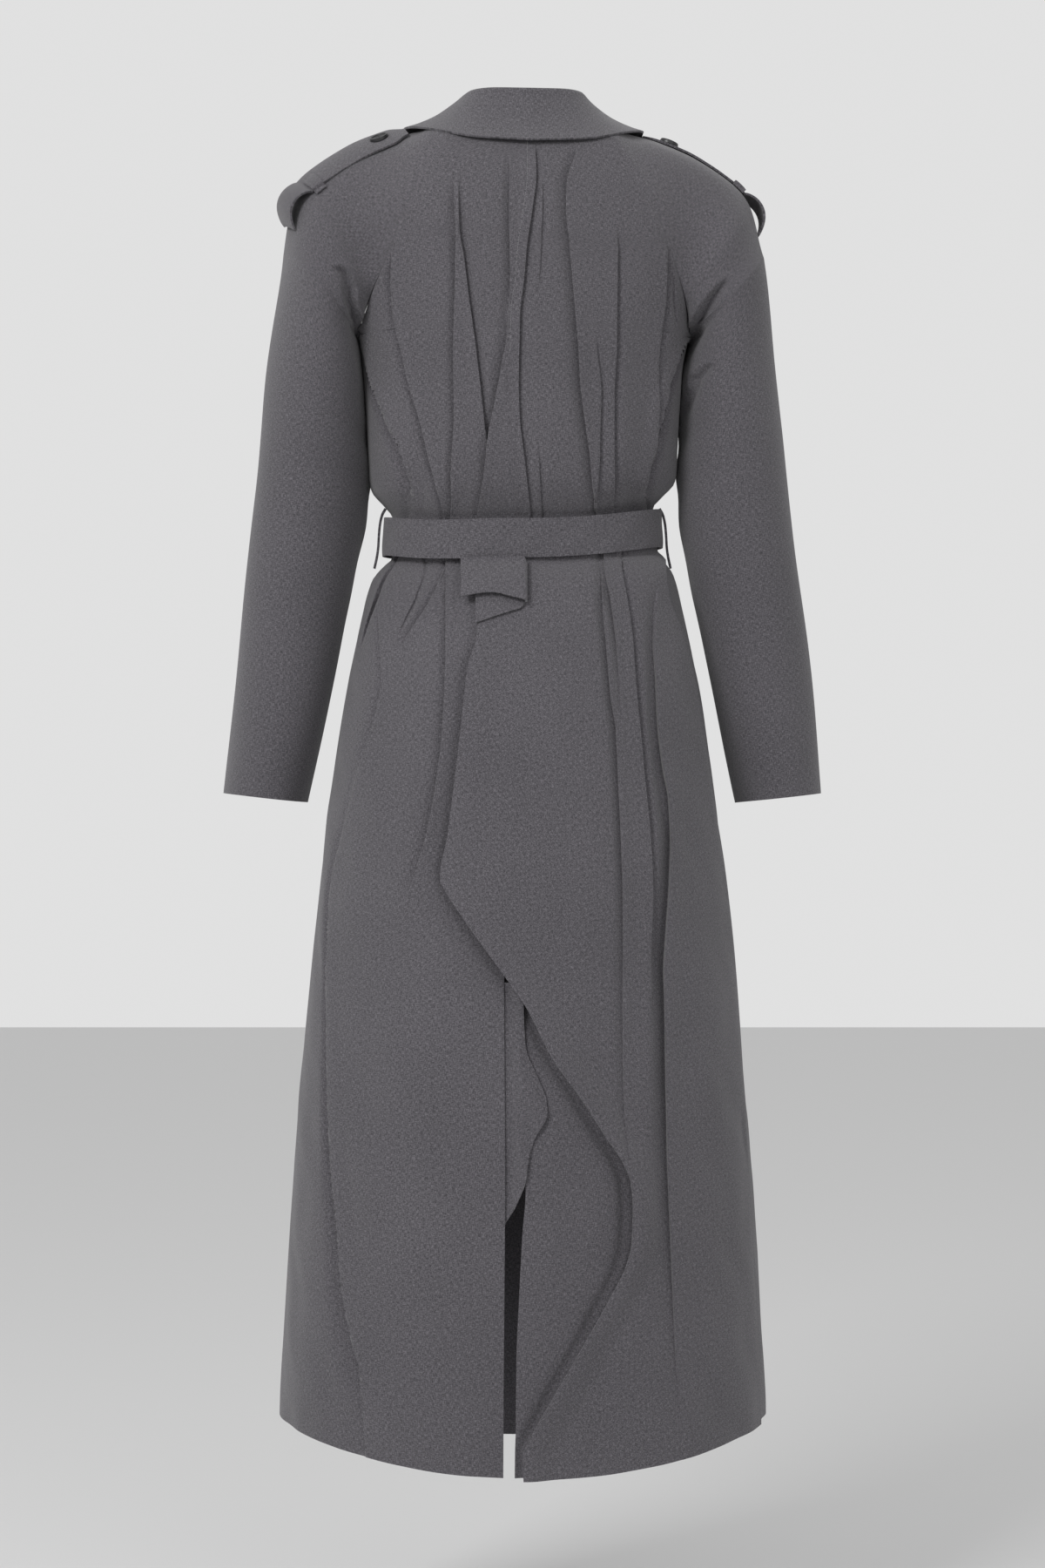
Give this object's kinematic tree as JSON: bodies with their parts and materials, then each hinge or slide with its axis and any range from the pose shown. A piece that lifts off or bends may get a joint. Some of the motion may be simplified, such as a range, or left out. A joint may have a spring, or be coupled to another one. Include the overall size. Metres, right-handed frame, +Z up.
{
  "type": "belted trench coat",
  "caption": "Long grey belted coat with raglan sleeves, shoulder straps, a notched fold-over collar, a back vent and a draped back overskirt, filled out as if worn.",
  "frame": {"origin": "middle of the neck opening, level with the back neck seam, where the wearer's neck and shoulders hold the coat", "axes": "+Z up along the wearer's body; the coat's back faces -Y and its front +Y; the wearer's left is -X"},
  "size_m": [0.5864, 0.3841, 1.3299],
  "materials": {
    "cloth": "matt heathered mid-grey wool suiting, plain weave",
    "button": "near-black resin, almost matt"
  },
  "bodies": {
    "root": {"back_left": "cloth", "back_right": "cloth", "front_left": "cloth", "front_right": "cloth", "sleeve_left": "cloth", "sleeve_right": "cloth", "collar": "cloth", "lapel_left": "cloth", "lapel_right": "cloth", "drape_panel": "cloth", "vent_underlap": "cloth", "back_tab": "cloth", "belt": "cloth", "belt_knot": "cloth", "belt_end_left": "cloth", "belt_end_right": "cloth", "belt_carrier_left": "cloth", "belt_carrier_right": "cloth", "shoulder_strap_left": "cloth", "shoulder_strap_right": "cloth", "strap_band_left": "cloth", "strap_band_right": "cloth", "strap_button_left": "button", "strap_button_right": "button"}
  },
  "joints": []
}
